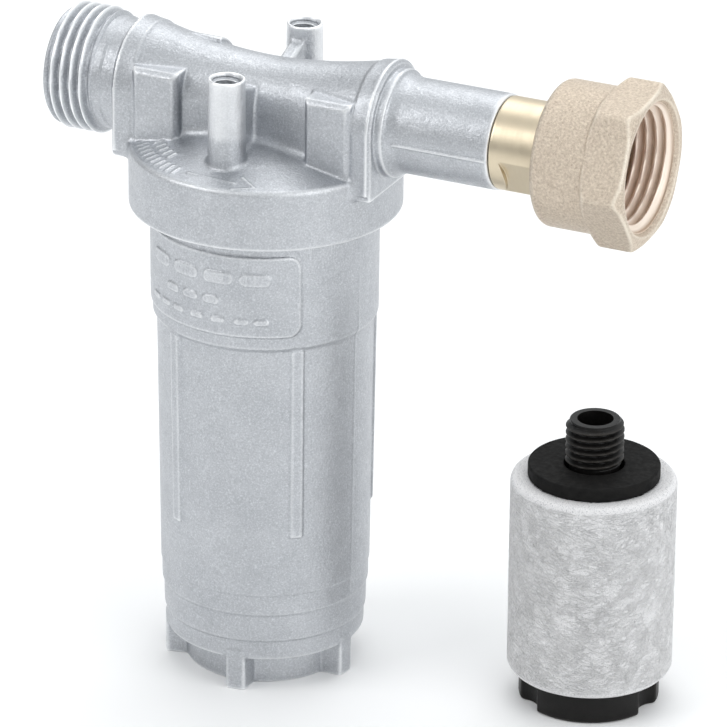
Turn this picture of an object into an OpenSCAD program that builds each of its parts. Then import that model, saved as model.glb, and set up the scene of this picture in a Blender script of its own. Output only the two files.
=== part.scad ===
// In-line cartridge filter: a cast head with a male thread and a union nut,
// a cast bowl that screws into the head, and a fleece cartridge on a hollow
// threaded spigot. A second cartridge of the same kind stands beside the bowl.
// Origin: centre of the bowl's foot plane. +X points to the union nut, +Z up.

/* [Bowl] */
// Height of the rim of the head's disc above the bowl's foot
disc_z = 95.2; // [92:0.1:100]
// Outer radius of the foot core inside the castellations
foot_r = 13.9; // [13:0.1:14.5]
// Outer radius of the foot castellations
tooth_r = 17.3; // [16.5:0.1:17.4]
// Height of the foot castellations
tooth_h = 5.9; // [4:0.1:7]
// Number of castellations, and of body ribs between them
lobes = 5; // [4:1:6]
// Direction of the first castellation, from -Y towards +X, in degrees
lobe_turn = 8.7; // [0:0.1:20]
// Body radius just above the lower ledge
body_r_low = 18; // [17.7:0.1:18.2]
// Body radius just below the badge zone
body_r_high = 18.6; // [18.3:0.1:18.7]
// Radius of the smooth zone under the head
zone_r = 19.4; // [19.2:0.05:19.6]
// Inner radius at the bowl's mouth
mouth_r = 16.2; // [16:0.1:16.4]
// Height of the body ribs above the body
rib_h = 0.4; // [0.3:0.05:0.5]
// Thickness of the raised badge plate
plate_h = 0.45; // [0.3:0.05:0.5]

/* [Head] */
// Outer radius of the head's collar
collar_r = 23.3; // [22.8:0.1:24]
// Height of the collar's outer wall
collar_h = 10.5; // [10:0.1:11]
// Height of the pipe axis above the rim of the disc
axis_up = 7.9; // [7.8:0.1:8.4]
// Half width of the two end blocks of the pipe
block_w = 9.7; // [9.4:0.1:10]
// Distance of the end blocks' outer faces from the centre
block_x = 23.7; // [23.4:0.1:24]
// Distance of the screw bosses from the centre, along Y
boss_y = 14.8; // [14.2:0.1:15.6]
// Height of the boss tops above the rim of the disc
boss_up = 16.7; // [15:0.1:17.5]
// Core hole of the boss threads, for M5
boss_hole_r = 2.1; // [1.9:0.05:2.3]

/* [Threads] */
// Major radius of both pipe threads, W 21.8 x 1/14
pipe_thread_r = 10.9; // [10.4:0.05:11]
// Pitch of both pipe threads
pipe_pitch = 1.814; // [1.5:0.001:2]
// Major radius of the cartridge spigot, M10
spigot_r = 5; // [4.8:0.05:5]
// Pitch of the cartridge spigot
spigot_pitch = 1.25; // [1:0.05:1.5]
// Outer radius of the bowl's neck, M38 x 1.5
neck_r = 19; // [18.8:0.05:19.1]

/* [Union] */
// Outer end of the male thread, from the centre
male_end = 37.4; // [36:0.1:39]
// Outer end of the cast snout, from the centre
snout_end = 44.4; // [43:0.1:46]
// Back face of the union nut, from the centre
nut_back = 53.5; // [53.5:0.1:55]
// Front face of the union nut, from the centre
nut_front = 70.6; // [69:0.1:72]
// Width across the flats of the union nut
nut_af = 25; // [24:0.5:26]
// Radius of the round back part of the union nut
nut_r = 12.4; // [12:0.1:12.5]
// Radius of the tailpiece
tail_r = 7.9; // [7.6:0.05:8]
// Width across the tailpiece's two spanner flats
tail_flats = 14; // [13.5:0.5:15]

/* [Cartridge] */
// Radius of the fleece
fleece_r = 14.2; // [13.5:0.1:14.4]
// Height of the fleece
fleece_h = 36; // [34:0.5:37]
// Radius of the base cap
base_r = 12.1; // [11.5:0.1:12.5]
// Height of the base cap
base_h = 5.4; // [5:0.1:6]
// Radius of the rubber washer
washer_r = 11.3; // [10.8:0.1:11.4]
// Thickness of the rubber washer
washer_h = 2.4; // [2:0.1:2.6]
// Height of the spigot above the fleece
spigot_h = 10.6; // [10:0.1:11]
// Place of the second cartridge, along X
spare_x = 57.8; // [52:0.2:65]
// Place of the second cartridge, along Y
spare_y = 9; // [0:0.5:15]

/* [Hidden] */

$fn = 96;
eps = 0.01;
fit = 0.05;               // radial clearance of sliding and turning fits
gap = 0.3;                // clearance between faces that never touch

axis_z = disc_z + axis_up;
collar_z = disc_z - collar_h;
lobe_step = 360 / lobes;

// Bowl heights
ring_z = 9.7;             // top of the ring above the castellations
rib_turn = -1.9;          // turn of the ribs from midway between castellations
ledge_z = 14.9;           // strong ledge at the body's lower end
rib_z = 29.5;             // lower end of the ribs
step_z = 64.4;            // lower edge of the smooth zone
zone_z = 65.3;            // top of the chamfer under the smooth zone
plate_z0 = 67.4;
plate_z1 = 82.1;
plate_mid = -10;          // direction of the middle of the badge plate
plate_span = 109;         // angle that the badge plate covers
rib_span = 7.2;           // angle that a rib covers
neck_top = 89.2;
floor_z = 4.5;            // inner floor of the bowl
floor_r = 11.5;
sump_r = 15.2;            // inner radius of the lower body
shell_r = 15.8;           // inner radius of the upper body

// Magnet in the sump
magnet_r = 4;
magnet_z0 = floor_z + 1.5;
magnet_z1 = 30;
holder_r = floor_r;
holder_h = 2;
cup_r = 5.6;              // cup that the magnet stands in
cup_h = 8;

// Joint between bowl and head
roof_z = 91.2;            // roof of the head's cavity
gasket_h = 1.4;
slip_h = 0.45;
seal_in = mouth_r + 0.3;
seal_out = neck_r - 0.15;

// Head
dome_r = 15.3;            // where the disc's slope ends at the bosses
dome_up = 1.9;            // rise of the disc's slope
crown_r = 8;
crown_up = 3.2;
block_low = disc_z - 3.7; // lower edge of the end blocks
block_t = 3.6;
tube_r = 10.1;            // tube radius at the end blocks
waist_r = 7.4;            // tube radius at the middle
web_w = 6.9;              // half width of the web under the waist
pad_y = 10.3;             // spanner pads, distance from the centre plane
pad_x0 = 12.9;
pad_x1 = 20;
pad_up = 5;               // top of the pads above the pipe axis
boss_r = 3.2;
boss_depth = 10;
boss_rib_t = 2.6;         // rib between a boss and the pipe
snout_r = 8.1;
bore_r = 4.6;             // narrow pipe bores beside the centre
outlet_r = 6.5;           // wide bore behind the male thread
socket_r = 6.2;           // socket for the tailpiece's plug
socket_x = 34;
wall_x0 = 4;              // inner wall between outlet and inlet bores
wall_x1 = 9;
port_x = 13.8;            // inlet port from the pipe into the bowl
port_r = 2.3;
relief_x = 28.5;          // inner end of the male thread
thread_depth = 1.16;
spigot_depth = 0.75;

// Union
plug_r = socket_r - fit;
groove_x = 39;            // O-ring groove in the tailpiece's plug
groove_r = 5.1;
ring_wire = 0.5;          // half the O-ring's thickness
tail_bore = 4.4;
nut_wall = 2.6;           // back wall of the nut
flange_x = 58.2;
flange_t = 2;
flange_r = 9.3;
nut_bore_r = pipe_thread_r - thread_depth;
nut_hex_x = 62.9;         // where the hexagon begins
nut_thread_x = 62.45;     // inner end of the nut's thread
chamber_r = 10;           // chamber for the flange and the gasket
nut_turn = 6.4;           // turn of the hexagon about the pipe axis
flat_turn = 30;           // turn of the tailpiece's flats below -Y

// Cartridge
core_r = 6.5;
core_in = 5.2;
core_h = fleece_h - 2;
screen_r = 7;
cap_r = 11;
cap_h = 2;
spigot_bore = 3.1;
scallops = 3;             // finger hollows in the base cap
scallop_turn = -37.5;     // direction of the first hollow, from -Y towards +X
cartridge_z = roof_z - fit - washer_h - fleece_h - base_h;

// Closed outline of a threaded wall: crests at r_crest, roots at r_root.
// Coordinates are [radius, length]; the wall starts at 0 and ends at len.
function ridges(r_crest, r_root, pitch, len, flat = 0.25) =
    let (turns = floor((len - pitch * flat) / pitch))
    [for (i = [0:turns - 1]) each [
        [r_crest, i * pitch],
        [r_crest, i * pitch + pitch * flat],
        [r_root, i * pitch + pitch * (0.5 + flat / 2) - 0.1],
        [r_root, i * pitch + pitch * (0.5 + flat / 2) + 0.1]],
     [r_crest, turns * pitch],
     [r_crest, len]];

// Round solid about Z with a ridged outside
module ridged_rod(r_crest, r_root, pitch, len) {
    rotate_extrude()
        polygon(concat([[0, 0]], ridges(r_crest, r_root, pitch, len), [[0, len]]));
}

module ring(r_out, r_in, h) {
    difference() {
        cylinder(r = r_out, h = h);
        translate([0, 0, -1]) cylinder(r = r_in, h = h + 2);
    }
}

// Puts a shape drawn about +Z onto the pipe axis, looking along +X from x
module along_pipe(x) {
    translate([x, 0, axis_z]) rotate([0, 90, 0]) children();
}

// Turns a shape from the -Y direction by an angle towards +X
module facing(angle) {
    rotate([0, 0, angle - 90]) children();
}

// ---- Bowl -------------------------------------------------------------

module bowl_shell() {
    rotate_extrude()
        polygon([
            [0, 0], [foot_r, 0], [foot_r, tooth_h], [tooth_r, tooth_h],
            [tooth_r + 0.05, ring_z], [tooth_r + 0.2, ring_z],
            [tooth_r + 0.3, ledge_z - 0.3], [body_r_low, ledge_z],
            [body_r_high, step_z], [zone_r - 0.1, zone_z],
            [zone_r, collar_z - gap], [neck_r, collar_z - gap],
            [neck_r, neck_top - 0.5], [neck_r - 0.5, neck_top],
            [mouth_r, neck_top], [shell_r, zone_z], [sump_r, ledge_z],
            [floor_r + 2, floor_z + 2], [floor_r, floor_z], [0, floor_z]
        ]);
}

module bowl_tooth() {
    linear_extrude(height = tooth_h + 0.2)
        polygon([
            [foot_r - 0.4, -2.5], [tooth_r - 0.2, -1.63], [tooth_r - 0.1, -0.8],
            [tooth_r - 0.1, 0.8], [tooth_r - 0.2, 1.63], [foot_r - 0.4, 2.5]
        ]);
}

module bowl_rib() {
    rotate([0, 0, -rib_span / 2])
        rotate_extrude(angle = rib_span)
            polygon([
                [sump_r + 1, rib_z], [body_r_low + 0.15 + rib_h, rib_z],
                [body_r_high + rib_h, step_z + 0.4], [sump_r + 1, step_z + 0.4]
            ]);
}

module badge_plate() {
    rotate([0, 0, -plate_span / 2])
        rotate_extrude(angle = plate_span)
            polygon([
                [zone_r - 1, plate_z0], [zone_r + plate_h, plate_z0],
                [zone_r + plate_h, plate_z1], [zone_r - 1, plate_z1]
            ]);
}

module bowl() {
    color("lightsteelblue") {
        bowl_shell();
        for (k = [0:lobes - 1]) {
            facing(lobe_turn + k * lobe_step) bowl_tooth();
            facing(lobe_turn + (k + 0.5) * lobe_step + rib_turn) bowl_rib();
        }
        facing(plate_mid) badge_plate();
    }
}

// ---- Magnet in the sump -------------------------------------------------

module magnet_holder() {
    color("dimgray") translate([0, 0, floor_z]) difference() {
        union() {
            cylinder(r = holder_r, h = holder_h);
            cylinder(r = cup_r, h = cup_h);
        }
        translate([0, 0, magnet_z0 - floor_z]) cylinder(r = magnet_r + fit, h = cup_h);
        for (k = [0:5])
            rotate([0, 0, 60 * k]) translate([8.6, 0, -1])
                cylinder(r = 1.6, h = holder_h + 2);
    }
}

module magnet_rod() {
    color("gainsboro") translate([0, 0, magnet_z0])
        rotate_extrude()
            polygon([
                [0, 0], [magnet_r, 0], [magnet_r, magnet_z1 - magnet_z0 - 0.8],
                [magnet_r - 0.8, magnet_z1 - magnet_z0], [0, magnet_z1 - magnet_z0]
            ]);
}

// ---- Seal between bowl and head ---------------------------------------

module bowl_gasket() {
    color("black") translate([0, 0, neck_top]) ring(seal_out, seal_in, gasket_h);
}

module bowl_slip_ring() {
    color("silver") translate([0, 0, neck_top + gasket_h + fit])
        ring(seal_out, seal_in, slip_h);
}

// ---- Head ---------------------------------------------------------------

module collar() {
    rotate_extrude()
        polygon([
            [0, roof_z], [neck_r + fit, roof_z], [neck_r + fit, collar_z],
            [collar_r - 0.3, collar_z], [collar_r, collar_z + 0.3],
            [collar_r, disc_z - 0.9], [collar_r - 0.9, disc_z],
            [dome_r, disc_z + dome_up], [crown_r, disc_z + crown_up],
            [0, disc_z + crown_up]
        ]);
}

// Half the waisted tube's outline: wide at the blocks, narrow in the middle
function tube_at(x) = waist_r + (tube_r - waist_r) * pow(abs(x) / block_x, 1.9);

module tube() {
    steps = 12;
    along_pipe(-block_x) rotate_extrude()
        polygon(concat(
            [[0, 0]],
            [for (i = [-steps:steps])
                [tube_at(i * block_x / steps), (i + steps) * block_x / steps]],
            [[0, 2 * block_x]]
        ));
}

module end_block(side) {
    x0 = side > 0 ? block_x - block_t : -block_x;
    translate([x0, -block_w, block_low]) cube([block_t, 2 * block_w, axis_z - block_low]);
}

module pads(side) {
    x0 = side > 0 ? pad_x0 : -pad_x1;
    translate([x0, -pad_y, disc_z - 1])
        cube([pad_x1 - pad_x0, 2 * pad_y, axis_z + pad_up - disc_z + 1]);
}

// A rib joins the boss to the pipe
module screw_boss(side) {
    rotate([0, 0, side > 0 ? 180 : 0]) {
        translate([0, -boss_y, disc_z]) cylinder(r = boss_r, h = boss_up);
        translate([-boss_rib_t / 2, -boss_y, disc_z])
            cube([boss_rib_t, boss_y - web_w + 2, boss_up - 1.8]);
    }
}

module male_end() {
    along_pipe(-relief_x - eps) rotate([0, 180, 0])
        ridged_rod(pipe_thread_r, nut_bore_r, pipe_pitch, male_end - relief_x - 0.8);
    along_pipe(-male_end) cylinder(r1 = nut_bore_r, r2 = nut_bore_r + 0.7, h = 0.9);
    along_pipe(-relief_x - 0.1) cylinder(r = nut_bore_r, h = 2.6);
    along_pipe(-relief_x + 1.8) cylinder(r = tube_r, h = relief_x - block_x);
}

module snout() {
    along_pipe(block_x - 1) cylinder(r = snout_r, h = snout_end - block_x + 1);
    along_pipe(block_x - 1) cylinder(r1 = tube_r, r2 = tube_r - 0.3, h = 2.6);
    along_pipe(block_x + 1.5) cylinder(r1 = snout_r + 1, r2 = snout_r, h = 2);
}

module head_casting() {
    color("lightsteelblue") difference() {
        union() {
            collar();
            tube();
            translate([-block_x + 1, -web_w, disc_z - 1])
                cube([2 * block_x - 2, 2 * web_w, axis_up + 1]);
            for (side = [-1, 1]) {
                end_block(side);
                pads(side);
                screw_boss(side);
            }
            male_end();
            snout();
        }
        // Outlet bore behind the male thread, stepped down beside the centre
        along_pipe(-male_end - 1) cylinder(r = outlet_r, h = male_end - 13);
        along_pipe(-15) cylinder(r = bore_r, h = 15 + wall_x0);
        // Inlet bore and the socket for the tailpiece
        along_pipe(wall_x1) cylinder(r = bore_r, h = snout_end - wall_x1);
        along_pipe(socket_x) cylinder(r = socket_r, h = snout_end - socket_x + 1);
        // Port from the inlet into the bowl, and the cartridge's threaded hole
        translate([port_x, 0, roof_z - 1]) cylinder(r = port_r, h = axis_z - roof_z + 1);
        translate([0, 0, roof_z - 1]) cylinder(r = spigot_r + fit, h = 10);
        for (side = [-1, 1])
            translate([0, side * boss_y, disc_z + boss_up - boss_depth])
                cylinder(r = boss_hole_r, h = boss_depth + 1);
    }
}

// ---- Tailpiece and union nut ------------------------------------------

module tailpiece() {
    color("goldenrod") difference() {
        along_pipe(socket_x + 0.5) rotate_extrude()
            polygon([
                [tail_bore, 0], [plug_r - 0.4, 0], [plug_r, 0.4],
                [plug_r, groove_x - socket_x - 1.5],
                [groove_r, groove_x - socket_x - 1.5],
                [groove_r, groove_x - socket_x + 0.5],
                [plug_r, groove_x - socket_x + 0.5],
                [plug_r, snout_end + fit - socket_x - 0.5],
                [tail_r, snout_end + fit - socket_x - 0.5],
                [tail_r, flange_x - socket_x - 0.5],
                [flange_r, flange_x - socket_x - 0.5],
                [flange_r, flange_x + flange_t - socket_x - 0.5],
                [tail_bore, flange_x + flange_t - socket_x - 0.5]
            ]);
        for (side = [0, 180])
            translate([0, 0, axis_z]) rotate([side - flat_turn, 0, 0])
                translate([snout_end + 1.8, -tail_r - 2, -6])
                    cube([7, tail_r + 2 - tail_flats / 2, 12]);
    }
}

module tailpiece_o_ring() {
    color("black") along_pipe(groove_x)
        rotate_extrude() translate([groove_r + ring_wire + 0.02, 0])
            circle(r = ring_wire, $fn = 32);
}

module union_gasket() {
    color("saddlebrown") along_pipe(flange_x + flange_t + fit)
        ring(flange_r - 0.1, tail_bore + 0.2, 2);
}

module nut_slip_ring() {
    color("goldenrod") along_pipe(nut_back + nut_wall + fit)
        ring(nut_bore_r - 0.2, tail_r + fit, flange_x - nut_back - nut_wall - 2 * fit);
}

module nut_hexagon() {
    across = nut_af / cos(30);
    intersection() {
        along_pipe(nut_hex_x) rotate([0, 0, nut_turn])
            cylinder(d = across, h = nut_front - nut_hex_x, $fn = 6);
        along_pipe(nut_hex_x) rotate_extrude()
            polygon([
                [0, 0], [nut_r, 0], [across / 2 - 0.2, 1.2],
                [across / 2 - 0.2, nut_front - nut_hex_x - 1.4],
                [nut_r - 0.3, nut_front - nut_hex_x], [0, nut_front - nut_hex_x]
            ]);
    }
}

module union_nut() {
    color("peru") difference() {
        union() {
            along_pipe(nut_back) rotate_extrude()
                polygon([
                    [0, 0], [nut_r - 1.4, 0], [nut_r - 0.4, 0.4], [nut_r, 1.4],
                    [nut_r, nut_hex_x - nut_back + 1], [0, nut_hex_x - nut_back + 1]
                ]);
            nut_hexagon();
        }
        along_pipe(nut_back - 1) cylinder(r = tail_r + fit, h = nut_wall + 2);
        along_pipe(nut_back + nut_wall)
            cylinder(r = chamber_r, h = nut_thread_x - nut_back - nut_wall);
        along_pipe(nut_thread_x - 1) cylinder(r = nut_bore_r, h = nut_front - nut_thread_x + 2);
        for (k = [0:2])
            along_pipe(nut_thread_x + k * pipe_pitch + 0.5) rotate_extrude()
                polygon([
                    [nut_bore_r - 0.5, 0], [nut_bore_r, 0.1],
                    [pipe_thread_r, pipe_pitch * 0.36], [pipe_thread_r, pipe_pitch * 0.44],
                    [nut_bore_r, pipe_pitch * 0.8 - 0.1], [nut_bore_r - 0.5, pipe_pitch * 0.8]
                ]);
        along_pipe(nut_front - 0.9) cylinder(r1 = nut_bore_r, r2 = pipe_thread_r + 0.5, h = 1);
    }
}

// ---- Cartridge, drawn from its own base upwards -------------------------

module base_shape() {
    difference() {
        rotate_extrude()
            polygon([
                [0, 0], [base_r - 0.6, 0], [base_r, 0.6],
                [base_r, base_h], [0, base_h]
            ]);
        for (k = [0:scallops - 1])
            facing(scallop_turn + k * 360 / scallops) translate([base_r + 1.9, 0, -1])
                cylinder(r = 3.6, h = base_h + 0.2);
    }
}

module core_shape() {
    rows = 4;
    translate([0, 0, base_h]) difference() {
        ring(core_r, core_in, core_h);
        for (r = [0:rows - 1], k = [0:2])
            rotate([0, 0, 60 * k + 30 * (r % 2)])
                translate([-core_r - 1, -1.6, 3 + r * (core_h - 4) / rows])
                    cube([2 * core_r + 2, 3.2, 5.4]);
    }
}

module screen_shape() {
    translate([0, 0, base_h]) ring(screen_r, core_r + fit, core_h);
}

module fleece_shape() {
    translate([0, 0, base_h]) difference() {
        rotate_extrude()
            polygon([
                [0, 0], [fleece_r - 1.2, 0], [fleece_r, 1.4],
                [fleece_r, fleece_h - 0.8], [fleece_r - 0.8, fleece_h], [0, fleece_h]
            ]);
        translate([0, 0, -1]) cylinder(r = screen_r + fit, h = fleece_h + 2);
        translate([0, 0, core_h]) cylinder(r = cap_r + fit, h = cap_h + 1);
    }
}

module spigot_shape() {
    translate([0, 0, base_h + core_h]) difference() {
        union() {
            cylinder(r = cap_r, h = cap_h);
            cylinder(r = spigot_r - spigot_depth, h = cap_h + washer_h + 0.6);
            translate([0, 0, cap_h + washer_h + 0.5])
                ridged_rod(spigot_r, spigot_r - spigot_depth, spigot_pitch,
                           spigot_h - washer_h - 0.5);
        }
        translate([0, 0, -1]) cylinder(r = spigot_bore, h = cap_h + spigot_h + 2);
    }
}

module washer_shape() {
    translate([0, 0, base_h + fleece_h + 0.02])
        ring(washer_r, spigot_r + 0.15, washer_h - 0.02);
}

module fitted() {
    translate([0, 0, cartridge_z]) children();
}

module spare() {
    translate([spare_x, spare_y, 0]) children();
}

bowl();
magnet_holder();
magnet_rod();
bowl_gasket();
bowl_slip_ring();
head_casting();
tailpiece();
tailpiece_o_ring();
union_gasket();
nut_slip_ring();
union_nut();
fitted() color("black") washer_shape();  // cartridge_washer
fitted() color("black") spigot_shape();  // cartridge_spigot
fitted() color("black") core_shape();  // cartridge_core
fitted() color("silver") screen_shape();  // cartridge_screen
fitted() color("ghostwhite") fleece_shape();  // cartridge_fleece
fitted() color("black") base_shape();  // cartridge_base
spare() color("black") washer_shape();  // spare_washer
spare() color("black") spigot_shape();  // spare_spigot
spare() color("black") core_shape();  // spare_core
spare() color("silver") screen_shape();  // spare_screen
spare() color("ghostwhite") fleece_shape();  // spare_fleece
spare() color("black") base_shape();  // spare_base
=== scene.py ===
"""Looks of the in-line cartridge filter: castings, threads, brass, rubber, plastic and fleece.

Lengths are millimetres in the shape code and become metres when a mesh is made.
"""
import math

import bpy
import numpy as np
import openvdb
from mathutils import Matrix, Vector


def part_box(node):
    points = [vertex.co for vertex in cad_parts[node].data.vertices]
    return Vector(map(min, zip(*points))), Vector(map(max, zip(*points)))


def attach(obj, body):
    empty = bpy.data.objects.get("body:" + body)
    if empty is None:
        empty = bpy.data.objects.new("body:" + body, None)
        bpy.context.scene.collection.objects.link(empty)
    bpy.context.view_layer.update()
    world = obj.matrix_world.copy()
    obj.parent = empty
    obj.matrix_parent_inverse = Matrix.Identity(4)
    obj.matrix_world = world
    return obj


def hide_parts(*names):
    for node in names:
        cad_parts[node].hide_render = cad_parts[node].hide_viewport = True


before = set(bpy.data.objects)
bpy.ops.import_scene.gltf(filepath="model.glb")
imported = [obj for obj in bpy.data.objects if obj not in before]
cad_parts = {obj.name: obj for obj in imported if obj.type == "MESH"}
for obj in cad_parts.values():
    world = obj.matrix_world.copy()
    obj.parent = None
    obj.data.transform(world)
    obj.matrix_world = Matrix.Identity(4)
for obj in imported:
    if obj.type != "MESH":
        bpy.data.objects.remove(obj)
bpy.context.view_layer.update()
MM = 0.001
CONVEXITY_REACH = 0.6
FAR = 50.0
FLOOR_HALF = 3000
FLEECE_WAVES = 60
SLEEVE_LUMP, SLEEVE_INSET = 0.02, 0.07


# ---- Places, from the frame ----

def box_mm(node):
    """Lowest and highest corner of a CAD node, in millimetres."""
    low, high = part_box(node)
    return np.array(low) / MM, np.array(high) / MM


HEAD_LOW, HEAD_HIGH = box_mm("head_casting")
BOWL_HIGH = box_mm("bowl")[1]
TAIL_LOW, TAIL_HIGH = box_mm("tailpiece")
NUT_LOW, NUT_HIGH = box_mm("union_nut")
PIPE_Z = float(TAIL_LOW[2] + TAIL_HIGH[2]) / 2
COLLAR_Z = float(HEAD_LOW[2])
COLLAR_R = float(HEAD_HIGH[1])
COLLAR_H = 10.5
DISC_Z = COLLAR_Z + COLLAR_H
MALE_END = float(HEAD_LOW[0])
SNOUT_END = float(HEAD_HIGH[0])
ROOF_Z = DISC_Z - 4
NECK_TOP = float(BOWL_HIGH[2])
NECK_R = 19.0


# ---- Distance fields ----

class Field:
    """A signed distance field on a box of voxels, in millimetres, negative inside."""

    def __init__(self, low, high, voxel):
        self.voxel = voxel
        self.low = np.array(low, float)
        counts = np.ceil((np.array(high, float) - self.low) / voxel).astype(int) + 1
        self.axes = [self.low[a] + voxel * np.arange(counts[a]) for a in range(3)]
        self.distance = np.full(counts, FAR, np.float32)

    def window(self, low, high, margin):
        """The slices and open coordinate arrays of the voxels near a box."""
        slices = []
        for axis in range(3):
            start = int(np.searchsorted(self.axes[axis], low[axis] - margin))
            stop = int(np.searchsorted(self.axes[axis], high[axis] + margin))
            slices.append(slice(start, stop))
        x, y, z = (self.axes[a][slices[a]].astype(np.float32) for a in range(3))
        return tuple(slices), x[:, None, None], y[None, :, None], z[None, None, :]

    def margin(self, blend):
        """How far beyond its box a shape can change the field or its convexity."""
        return max(blend, CONVEXITY_REACH) + 3 * self.voxel

    def add(self, shape, blend=0.0):
        """Joins a shape on, with a fillet about as wide as blend."""
        distance, low, high = shape
        slices, x, y, z = self.window(low, high, self.margin(blend))
        self.distance[slices] = soft_min(self.distance[slices], distance(x, y, z), blend)

    def cut(self, shape, blend=0.0):
        """Takes a shape away, with its edge rounded by about blend."""
        distance, low, high = shape
        slices, x, y, z = self.window(low, high, self.margin(blend))
        self.distance[slices] = -soft_min(-self.distance[slices], distance(x, y, z), blend)

    def at(self, points):
        """The distance at points, between voxels where needed."""
        spot = (points - self.low) / self.voxel
        spot = np.clip(spot, 0, np.array(self.distance.shape) - 1.001)
        cell = spot.astype(int)
        part = spot - cell
        total = np.zeros(len(points))
        for corner in range(8):
            step = np.array([corner & 1, corner >> 1 & 1, corner >> 2 & 1])
            weight = np.prod(np.where(step, part, 1 - part), axis=1)
            total += weight * self.distance[tuple((cell + step).T)]
        return total

    def mesh(self, name, faces):
        """The zero surface as a mesh object with at most this many triangles."""
        band = 4 * self.voxel
        grid = openvdb.FloatGrid(band)
        grid.transform = openvdb.createLinearTransform(voxelSize=self.voxel)
        grid.copyFromArray(np.clip(self.distance, -band, band))
        points, _, quads = grid.convertToPolygons(isovalue=0.0, adaptivity=0.0)
        points = points.astype(float) + self.low
        piece = outward(thinned(mesh_object(name, points, quads), faces))
        self.dress(piece.data)
        return piece

    def dress(self, mesh):
        """Takes the shading normals and the convexity of each point from the field."""
        points = np.empty(len(mesh.vertices) * 3, np.float32)
        mesh.vertices.foreach_get("co", points)
        points = points.reshape(-1, 3).astype(float) / MM
        normals = np.zeros_like(points)
        around = np.zeros(len(points))
        for axis in range(3):
            step = np.zeros(3)
            step[axis] = 0.8 * self.voxel
            normals[:, axis] = self.at(points + step) - self.at(points - step)
            step[axis] = CONVEXITY_REACH
            around += self.at(points + step) + self.at(points - step)
        normals /= np.linalg.norm(normals, axis=1, keepdims=True) + 1e-9
        set_convexity(mesh, (around / 6 - self.at(points)) / CONVEXITY_REACH)
        mesh.normals_split_custom_set_from_vertices(normals)


def soft_min(a, b, blend):
    """The smaller of two fields, blended where they are closer than blend."""
    if blend <= 0:
        return np.minimum(a, b)
    share = np.clip(0.5 + 0.5 * (b - a) / blend, 0, 1)
    return b + (a - b) * share - blend * share * (1 - share)


def soft_max(a, b, blend):
    return -soft_min(-a, -b, blend)


def length(*parts):
    return np.sqrt(sum(p * p for p in parts))


def rod(axis, centre, radius, start, end, edge=0.2, end_radius=None):
    """A cylinder or cone along an axis, with rounded rims. centre is across the axis."""
    end_radius = radius if end_radius is None else end_radius
    across = [a for a in range(3) if a != axis]
    low, high = np.zeros(3), np.zeros(3)
    low[axis], high[axis] = start, end
    for a, c in zip(across, centre):
        low[a], high[a] = c - max(radius, end_radius), c + max(radius, end_radius)

    def distance(x, y, z):
        p = (x, y, z)
        share = np.clip((p[axis] - start) / (end - start), 0, 1)
        wall = radius + (end_radius - radius) * share - edge
        side = length(p[across[0]] - centre[0], p[across[1]] - centre[1]) - wall
        cap = abs(p[axis] - (start + end) / 2) - (end - start) / 2 + edge
        return (np.minimum(np.maximum(side, cap), 0)
                + length(np.maximum(side, 0), np.maximum(cap, 0)) - edge)

    return distance, low, high


def outline_distance(points, u, v):
    """Signed distance from each (u, v) to a closed outline, negative inside."""
    best = np.full(np.broadcast(u, v).shape, 1e6)
    inside = np.zeros(best.shape, bool)
    for (u0, v0), (u1, v1) in zip(points, np.roll(points, -1, axis=0)):
        du, dv = u1 - u0, v1 - v0
        share = np.clip(((u - u0) * du + (v - v0) * dv) / (du * du + dv * dv + 1e-12), 0, 1)
        best = np.minimum(best, (u - u0 - share * du) ** 2 + (v - v0 - share * dv) ** 2)
        crosses = (v0 > v) != (v1 > v)
        inside ^= crosses & (u < u0 + (v - v0) * du / (dv if dv else 1e-12))
    return np.sqrt(best) * np.where(inside, -1, 1)


def rounded(corners, steps=6):
    """A closed outline whose corners (u, v, radius) are turned into arcs."""
    out = []
    count = len(corners)
    for i, (u, v, radius) in enumerate(corners):
        here = np.array([u, v], float)
        before = np.array(corners[i - 1][:2], float) - here
        after = np.array(corners[(i + 1) % count][:2], float) - here
        if radius <= 0:
            out.append(here)
            continue
        a, b = before / np.linalg.norm(before), after / np.linalg.norm(after)
        half = math.acos(max(-1, min(1, float(a @ b)))) / 2
        reach = min(radius / math.tan(half), 0.49 * np.linalg.norm(before),
                    0.49 * np.linalg.norm(after))
        radius = reach * math.tan(half)
        middle = here + (a + b) / np.linalg.norm(a + b) * radius / math.sin(half)
        start, end = here + a * reach - middle, here + b * reach - middle
        for k in range(steps + 1):
            way = start * (1 - k / steps) + end * k / steps
            out.append(middle + way / np.linalg.norm(way) * radius)
    return np.array(out)


def turned(corners, axis=2, centre=(0.0, 0.0)):
    """A solid of revolution from an outline of (radius, length, corner radius)."""
    points = rounded(corners)
    reach = points[:, 0].max()
    across = [a for a in range(3) if a != axis]
    low, high = np.zeros(3), np.zeros(3)
    low[axis], high[axis] = points[:, 1].min(), points[:, 1].max()
    for a, c in zip(across, centre):
        low[a], high[a] = c - reach, c + reach

    def distance(x, y, z):
        p = (x, y, z)
        radius = length(p[across[0]] - centre[0], p[across[1]] - centre[1])
        rows = p[axis].ravel()
        step = 0.08
        table_r = np.arange(0, radius.max() + 2 * step, step)
        table = outline_distance(points, table_r[None, :], rows[:, None])
        place = radius / step
        index = place.astype(int)
        share = (place - index).astype(np.float32)
        table = table.astype(np.float32)
        flat_index = np.squeeze(index, axis)
        flat_share = np.squeeze(share, axis)
        found = table[:, flat_index] * (1 - flat_share) + table[:, flat_index + 1] * flat_share
        return np.moveaxis(found, 0, axis)

    return distance, low, high


# ---- Meshes ----

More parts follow.
